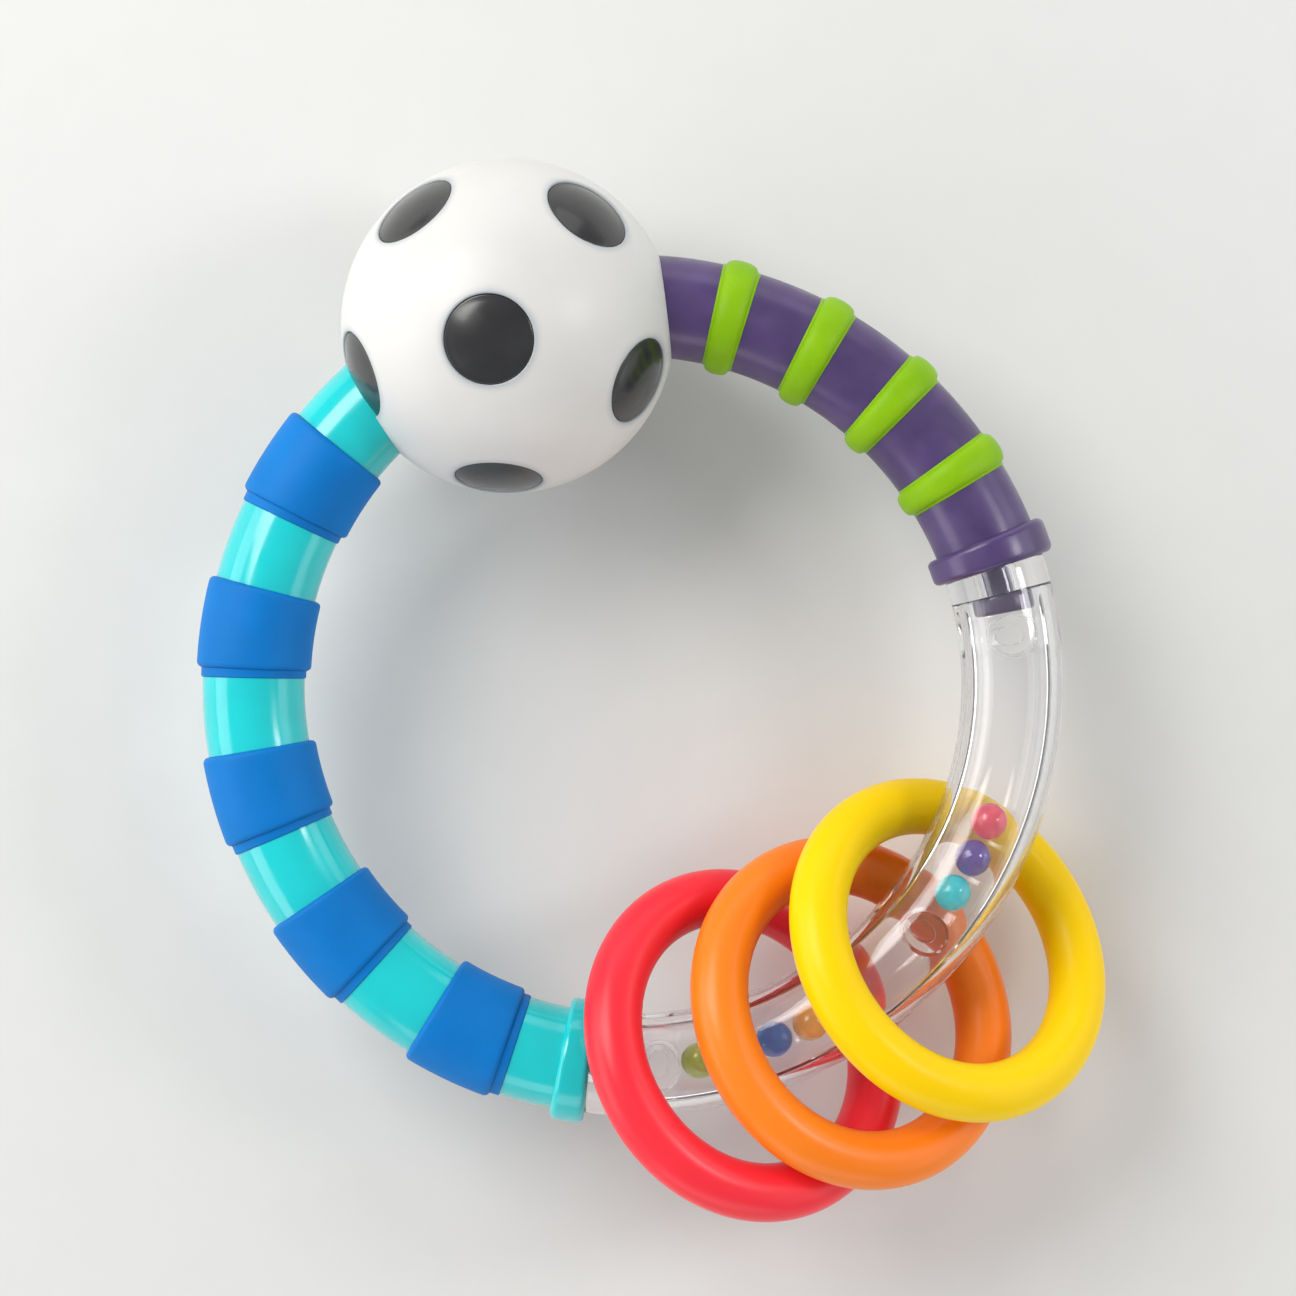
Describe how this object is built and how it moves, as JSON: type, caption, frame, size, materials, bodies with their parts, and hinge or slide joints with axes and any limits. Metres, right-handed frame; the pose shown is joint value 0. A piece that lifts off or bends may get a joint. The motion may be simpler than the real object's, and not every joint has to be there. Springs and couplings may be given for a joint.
{
  "type": "baby rattle",
  "caption": "Round hand-ring rattle with a spotted ball, ribbed coloured grip arms, a clear tube of loose beads and loose leaning rings threaded on it.",
  "frame": {"origin": "centre of the round hand ring, on its centreline plane, where all the halves part", "axes": "+Z square to the hand ring's plane, towards its upper side; +Y across the ring, about 19 degrees from the ball's direction; +X to the right, seen from above with the ball at the top left"},
  "size_m": [0.1266, 0.1454, 0.0462],
  "materials": {
    "white_soft": "soft satin cover",
    "black_shell": "gloss",
    "purple_shell": "satin",
    "teal_shell": "gloss",
    "clear_shell": "clear polished plastic",
    "lime_soft": "soft satin",
    "blue_soft": "soft matte",
    "red": "gloss",
    "orange": "gloss",
    "yellow": "gloss",
    "bead_teal": "gloss",
    "bead_purple": "gloss",
    "bead_pink": "gloss",
    "bead_green": "gloss",
    "bead_blue": "gloss",
    "bead_amber": "gloss"
  },
  "bodies": {
    "frame": {"ball_cover_upper": "white_soft", "ball_cover_lower": "white_soft", "ball_core_upper": "black_shell", "ball_core_lower": "black_shell", "purple_arm_upper": "purple_shell", "purple_arm_lower": "purple_shell", "purple_plug": "purple_shell", "teal_arm_upper": "teal_shell", "teal_arm_lower": "teal_shell", "teal_plug": "teal_shell", "clear_tube_upper": "clear_shell", "clear_tube_lower": "clear_shell", "green_band_1": "lime_soft", "green_band_2": "lime_soft", "green_band_3": "lime_soft", "green_band_4": "lime_soft", "blue_band_1": "blue_soft", "blue_band_2": "blue_soft", "blue_band_3": "blue_soft", "blue_band_4": "blue_soft", "blue_band_5": "blue_soft"},
    "red_ring": {"red_ring": "red"},
    "orange_ring": {"orange_ring": "orange"},
    "yellow_ring": {"yellow_ring": "yellow"},
    "bead_teal": {"bead_teal": "bead_teal"},
    "bead_purple": {"bead_purple": "bead_purple"},
    "bead_pink": {"bead_pink": "bead_pink"},
    "bead_green": {"bead_green": "bead_green"},
    "bead_blue": {"bead_blue": "bead_blue"},
    "bead_yellow": {"bead_yellow": "bead_amber"}
  },
  "joints": [
    {"name": "red_ring_slide", "type": "hinge", "parent": "frame", "child": "red_ring", "pos_m": [0, 0, 0], "axis": [0, 0, 1], "range_deg": [0, 11]},
    {"name": "orange_ring_slide", "type": "hinge", "parent": "red_ring", "child": "orange_ring", "pos_m": [0, 0, 0], "axis": [0, 0, 1], "range_deg": [0, 10]},
    {"name": "yellow_ring_slide", "type": "hinge", "parent": "orange_ring", "child": "yellow_ring", "pos_m": [0, 0, 0], "axis": [0, 0, 1], "range_deg": [0, 14]},
    {"name": "bead_teal_roll", "type": "hinge", "parent": "frame", "child": "bead_teal", "pos_m": [0, 0, 0], "axis": [0, 0, 1], "range_deg": [-1.1, 7.4]},
    {"name": "bead_purple_roll", "type": "hinge", "parent": "bead_teal", "child": "bead_purple", "pos_m": [0, 0, 0], "axis": [0, 0, 1], "range_deg": [0, 7.4]},
    {"name": "bead_pink_roll", "type": "hinge", "parent": "bead_purple", "child": "bead_pink", "pos_m": [0, 0, 0], "axis": [0, 0, 1], "range_deg": [0, 7.4]},
    {"name": "bead_green_roll", "type": "hinge", "parent": "frame", "child": "bead_green", "pos_m": [0, 0, 0], "axis": [0, 0, 1], "range_deg": [0, 5.2]},
    {"name": "bead_blue_roll", "type": "hinge", "parent": "bead_green", "child": "bead_blue", "pos_m": [0, 0, 0], "axis": [0, 0, 1], "range_deg": [-5.6, 5.2]},
    {"name": "bead_yellow_roll", "type": "hinge", "parent": "bead_blue", "child": "bead_yellow", "pos_m": [0, 0, 0], "axis": [0, 0, 1], "range_deg": [0, 5.2]}
  ]
}
